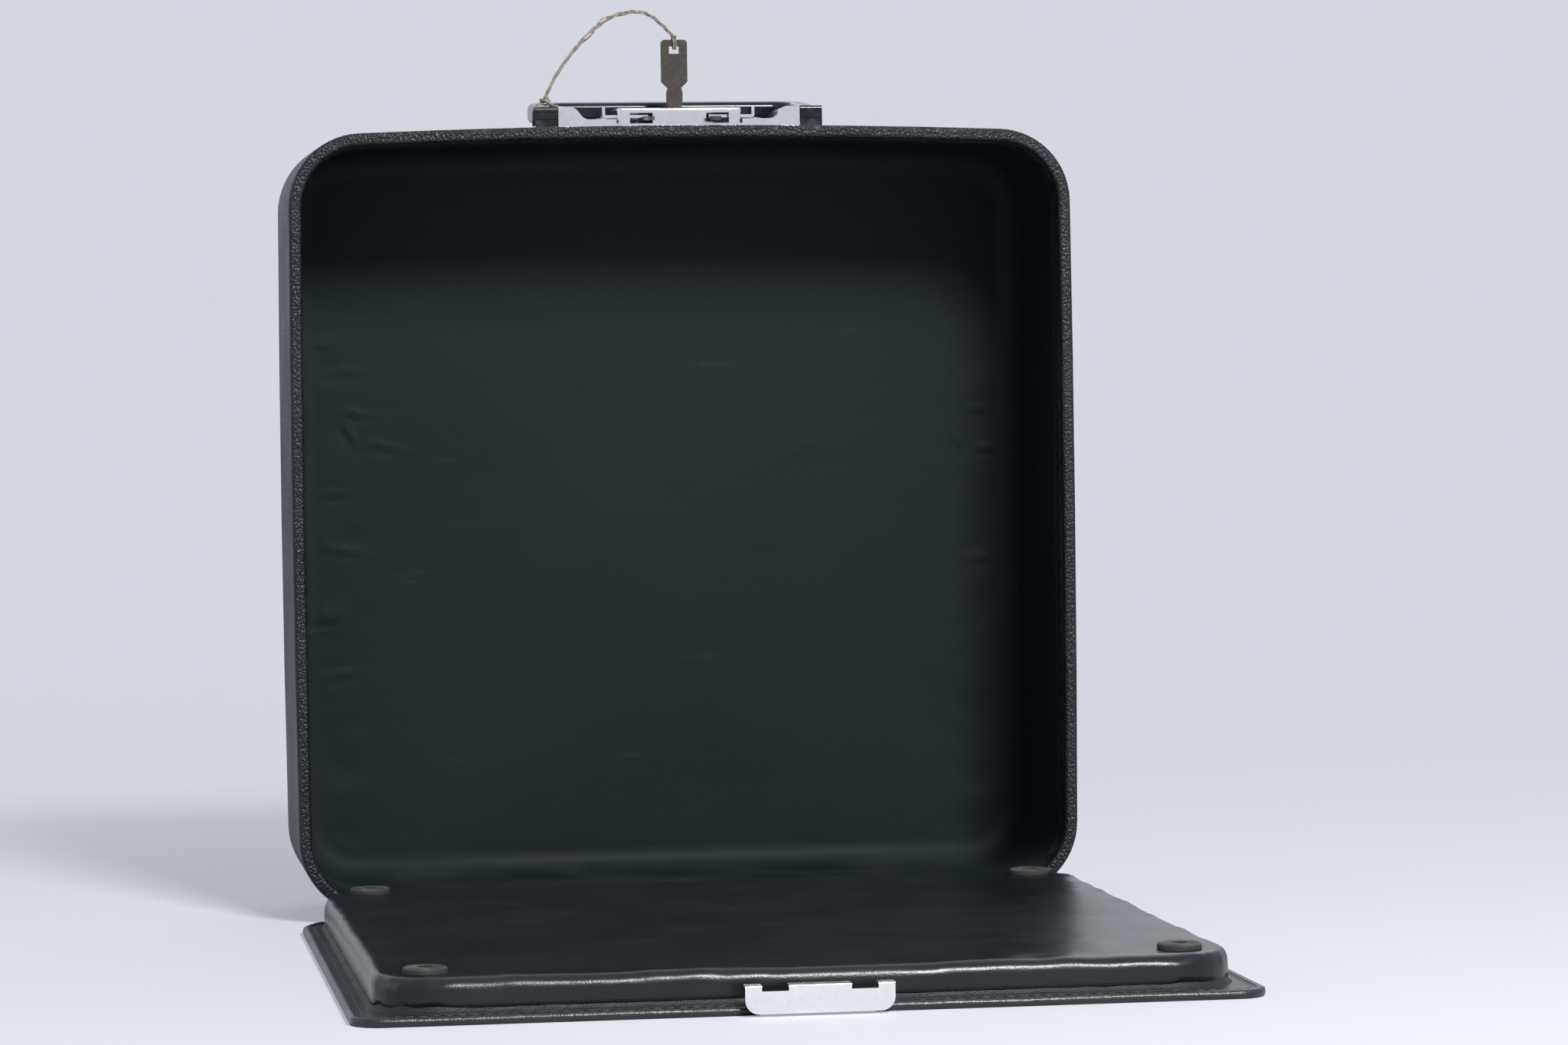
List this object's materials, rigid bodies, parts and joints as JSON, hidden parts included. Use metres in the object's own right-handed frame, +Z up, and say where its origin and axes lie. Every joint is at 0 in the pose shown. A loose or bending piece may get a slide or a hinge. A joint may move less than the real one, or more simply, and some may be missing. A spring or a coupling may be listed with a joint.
{
  "type": "portable typewriter case",
  "caption": "Portable typewriter case: low padded base with a striker plate, deep hinged lid with a folding handle, a key lock with release slides and a key on a twine.",
  "frame": {"origin": "middle of the base's underside, on the surface that the case lies on", "axes": "+X to the right seen from the front, +Y from the front to the hinges, +Z up; the lid is stored open and upright"},
  "size_m": [0.322, 0.4227, 0.3703],
  "materials": {
    "board": "matte fibreboard",
    "flange_vinyl": "satin black vinyl",
    "felt": "felt",
    "deck_vinyl": "glossy black vinyl",
    "rubber": "matte",
    "chrome": "worn chrome",
    "steel": "satin",
    "leathercloth": "grained leathercloth",
    "liner": "smooth black liner",
    "hem_fabric": "black tape",
    "glide_plastic": "satin",
    "brass": "aged",
    "key_metal": "aged nickel",
    "handle_plastic": "glossy",
    "dark_steel": "blackened",
    "twine": "old natural twine"
  },
  "bodies": {
    "base": {"base_board": "board", "flange_cover": "flange_vinyl", "deck_core": "board", "deck_padding": "felt", "deck_cover": "deck_vinyl", "machine_foot_pads": "rubber", "striker_plate": "chrome", "striker_rivets": "steel", "hinge_base_rivets": "steel", "hinge_base_leaf_left": "steel", "hinge_base_leaf_right": "steel", "hinge_pin_left": "steel", "hinge_pin_right": "steel"},
    "lid": {"hinge_lid_rivets": "steel", "lid_shell": "board", "lid_cover": "leathercloth", "lid_liner": "liner", "rim_piping": "leathercloth", "rim_hem": "hem_fabric", "lid_glides": "glide_plastic", "glide_pins": "steel", "lock_backing_plate": "steel", "trim_plate": "chrome", "lock_case": "chrome", "lock_barrel": "brass", "handle_pins": "steel", "handle_rivets": "steel", "key_twine": "twine", "twine_knot": "twine", "hinge_lid_leaf_left": "steel", "claw_spring_left": "steel", "handle_bracket_left": "handle_plastic", "hinge_lid_leaf_right": "steel", "claw_spring_right": "steel", "handle_bracket_right": "handle_plastic"},
    "handle": {"handle_grip": "handle_plastic"},
    "latch_left": {"claw_left": "dark_steel", "release_slider_left": "chrome"},
    "latch_right": {"claw_right": "dark_steel", "release_slider_right": "chrome"},
    "lock_key": {"lock_plug": "brass", "key": "key_metal", "key_loop": "twine"}
  },
  "joints": [
    {"name": "lid_hinge", "type": "hinge", "parent": "base", "child": "lid", "pos_m": [0, 0.16, 0.003], "axis": [1, 0, 0], "range_deg": [0, 90]},
    {"name": "handle_swing", "type": "hinge", "parent": "lid", "child": "handle", "pos_m": [0, 0.179, 0.3264], "axis": [1, 0, 0], "range_deg": [0, 50]},
    {"name": "release_left", "type": "slide", "parent": "lid", "child": "latch_left", "axis": [-1, 0, 0], "range_m": [0, 0.004], "stiffness_N_per_m": 300},
    {"name": "release_right", "type": "slide", "parent": "lid", "child": "latch_right", "axis": [1, 0, 0], "range_m": [0, 0.004], "stiffness_N_per_m": 300},
    {"name": "key_turn", "type": "hinge", "parent": "lid", "child": "lock_key", "pos_m": [0, 0.186, 0.33], "axis": [0, 0, 1], "range_deg": [0, 90]}
  ]
}
